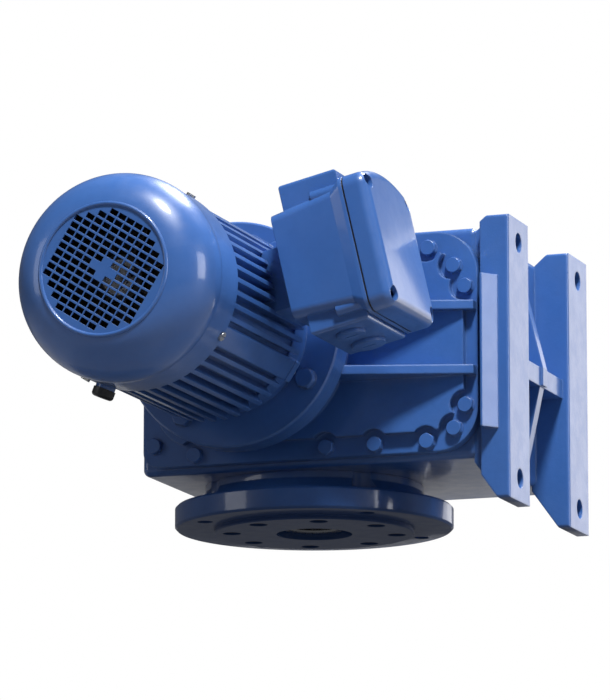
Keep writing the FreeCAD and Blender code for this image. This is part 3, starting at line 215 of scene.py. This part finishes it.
def plastic(name, color, rough, grain=0.00008):
    t = Tree(name)
    edge_normal, edge = t.soft_edges(0.0005)
    cloud = t.noise(70, 4, 0.6)
    pale = rgb(*(min(1.0, c * 1.7 + 0.015) for c in color[:3]))
    tint = t.mix(t.math("MULTIPLY", t.span(cloud, 0.4, 0.8), 0.5), color, pale)
    # Painted highlight: convex edges are lightened towards the pale tone.
    tint = t.mix(t.math("MULTIPLY", edge, 0.35), tint, pale)
    normal = t.bump(t.noise(1500, 2, 0.5), 0.6, grain, edge_normal)
    r = t.span(t.noise(130, 4, 0.6), 0.3, 0.7, rough - 0.06, rough + 0.12)
    return t.set(color=tint, rough=r, normal=normal)


CAST = paint("cast_blue_paint", 0.00022, 0.00004, radius=0.0022, wear=0.45)
ALLOY = paint("die_cast_blue_paint", 0.00006, 0.00003, radius=0.0012, wear=0.30)
SHEET = paint("sheet_blue_paint", 0.0, 0.000022, radius=0.0008, wear=0.15, shade_and_dirt=0.3)
SCREW_BLUE = paint("screw_blue_paint", 0.0, 0.00003, radius=0.0006, wear=0.9)
LOOKS = {
    "plated_steel": metal("zinc_plated_steel", rgb(0.62, 0.63, 0.62), 0.32),
    "black_steel": metal("black_oxide_steel", rgb(0.045, 0.046, 0.05), 0.42),
    "ground_steel": metal("ground_steel", rgb(0.56, 0.57, 0.59), 0.24, turned=0.00004,
                          grain_axis=(1, 0.08, 1)),
    "bearing_steel": metal("polished_bearing_steel", rgb(0.70, 0.71, 0.73), 0.14, stain=0.1),
    "bronze": metal("tin_bronze", rgb(0.60, 0.36, 0.14), 0.30, turned=0.00004),
    "bare_iron": metal("turned_grey_iron", rgb(0.20, 0.20, 0.21), 0.46, turned=0.00008),
    "lamination": metal("stacked_sheet_steel", rgb(0.28, 0.29, 0.32), 0.42,
                        grain_axis=(0.02, 1.5, 0.02)),
    "copper_winding": metal("varnished_copper", rgb(0.45, 0.16, 0.06), 0.35),
    "rotor_alloy": metal("cast_aluminium", rgb(0.62, 0.63, 0.65), 0.40),
    "stud_brass": metal("brass", rgb(0.68, 0.47, 0.17), 0.28),
    "seal_rubber": plastic("seal_rubber", rgb(0.012, 0.012, 0.013), 0.55),
    "gasket_paper": plastic("gasket_fibre", rgb(0.10, 0.09, 0.07), 0.8),
    "fan_plastic": plastic("fan_plastic", rgb(0.016, 0.016, 0.018), 0.45),
    "terminal_moulding": plastic("terminal_moulding", rgb(0.16, 0.05, 0.02), 0.42),
    "plug_plastic": plastic("plug_plastic", rgb(0.014, 0.014, 0.016), 0.38),
}


def look_of(name):
    if SLOT_OF[name] != "blue_paint":
        return LOOKS[SLOT_OF[name]]
    if name == "fan_cowl":
        return SHEET
    if name in DIE_CAST:
        return ALLOY
    return SCREW_BLUE if "screw" in name else CAST


def dress():
    for name, obj in NODES.items():
        obj.data.materials.clear()
        obj.data.materials.append(look_of(name))


dress()


# ---------------------------------------------------------------- stage
def floor():
    """Pale studio floor right under the part. A camera below it looks straight through it."""
    mesh = bpy.data.meshes.new("floor")
    signs = ((-1, -1), (1, -1), (1, 1), (-1, 1))
    corners = [(x * FLOOR_HALF, y * FLOOR_HALF, FLOOR_Z) for x, y in signs]
    mesh.from_pydata(corners, [], [(0, 1, 2, 3)])
    obj = bpy.data.objects.new("floor", mesh)
    bpy.context.scene.collection.objects.link(obj)
    t = Tree("pale_floor")
    t.set(color=t.mix(t.noise(3, 4), rgb(0.78, 0.78, 0.79), rgb(0.84, 0.84, 0.85)), rough=0.6)
    clear = t.nt.nodes.new("ShaderNodeBsdfTransparent")
    geo = t.nt.nodes.new("ShaderNodeNewGeometry")
    path = t.nt.nodes.new("ShaderNodeLightPath")
    second_ray = t.math("MAXIMUM", path.outputs["Is Diffuse Ray"], path.outputs["Is Glossy Ray"])
    bounced = t.math("MULTIPLY", second_ray, FLOOR_LETS_THROUGH)
    t.bsdf.inputs["Emission Color"].default_value = rgb(1.0, 1.0, 1.0)
    glow = t.math("MULTIPLY", path.outputs["Is Camera Ray"], FLOOR_GLOW)
    t.put(t.bsdf.inputs["Emission Strength"], glow)
    both = t.nt.nodes.new("ShaderNodeMixShader")
    t.link(t.math("MAXIMUM", geo.outputs["Backfacing"], bounced), both.inputs[0])
    t.link(t.bsdf.outputs[0], both.inputs[1])
    t.link(clear.outputs[0], both.inputs[2])
    t.link(both.outputs[0], t.out.inputs["Surface"])
    mesh.materials.append(t.mat)


def lamp(name, place, size, power, color):
    data = bpy.data.lights.new(name, "AREA")
    data.shape = "RECTANGLE"
    data.size, data.size_y = size
    data.energy = power
    data.color = color
    obj = bpy.data.objects.new(name, data)
    obj.location = place
    obj.rotation_euler = (Vector(MIDDLE) - Vector(place)).to_track_quat("-Z", "Y").to_euler()
    bpy.context.scene.collection.objects.link(obj)


def studio():
    world = bpy.data.worlds.new("studio")
    bpy.context.scene.world = world
    world.use_nodes = True
    nt = world.node_tree
    back = nt.nodes["Background"]
    back.inputs["Color"].default_value = (0.93, 0.95, 1.0, 1)
    back.inputs["Strength"].default_value = WORLD_STRENGTH
    seen = nt.nodes.new("ShaderNodeBackground")
    seen.inputs["Color"].default_value = (1, 1, 1, 1)
    seen.inputs["Strength"].default_value = 1.0
    path = nt.nodes.new("ShaderNodeLightPath")
    mix = nt.nodes.new("ShaderNodeMixShader")
    nt.links.new(path.outputs["Is Camera Ray"], mix.inputs[0])
    nt.links.new(back.outputs[0], mix.inputs[1])
    nt.links.new(seen.outputs[0], mix.inputs[2])
    nt.links.new(mix.outputs[0], nt.nodes["World Output"].inputs["Surface"])
    for settings in LAMPS:
        lamp(*settings)


def camera():
    """Low camera a little to the right of the motor's axis, aimed at the middle of the part."""
    place, aim = Vector(CAMERA_PLACE), Vector(CAMERA_AIM)
    data = bpy.data.cameras.new("camera")
    data.sensor_width = SENSOR_MM
    data.lens = LENS_MM
    obj = bpy.data.objects.new("camera", data)
    obj.location = place
    obj.rotation_euler = (aim - place).to_track_quat("-Z", "Y").to_euler()
    bpy.context.scene.collection.objects.link(obj)
    bpy.context.scene.camera = obj
    bpy.context.scene.view_settings.view_transform = "Standard"


floor()
studio()
camera()
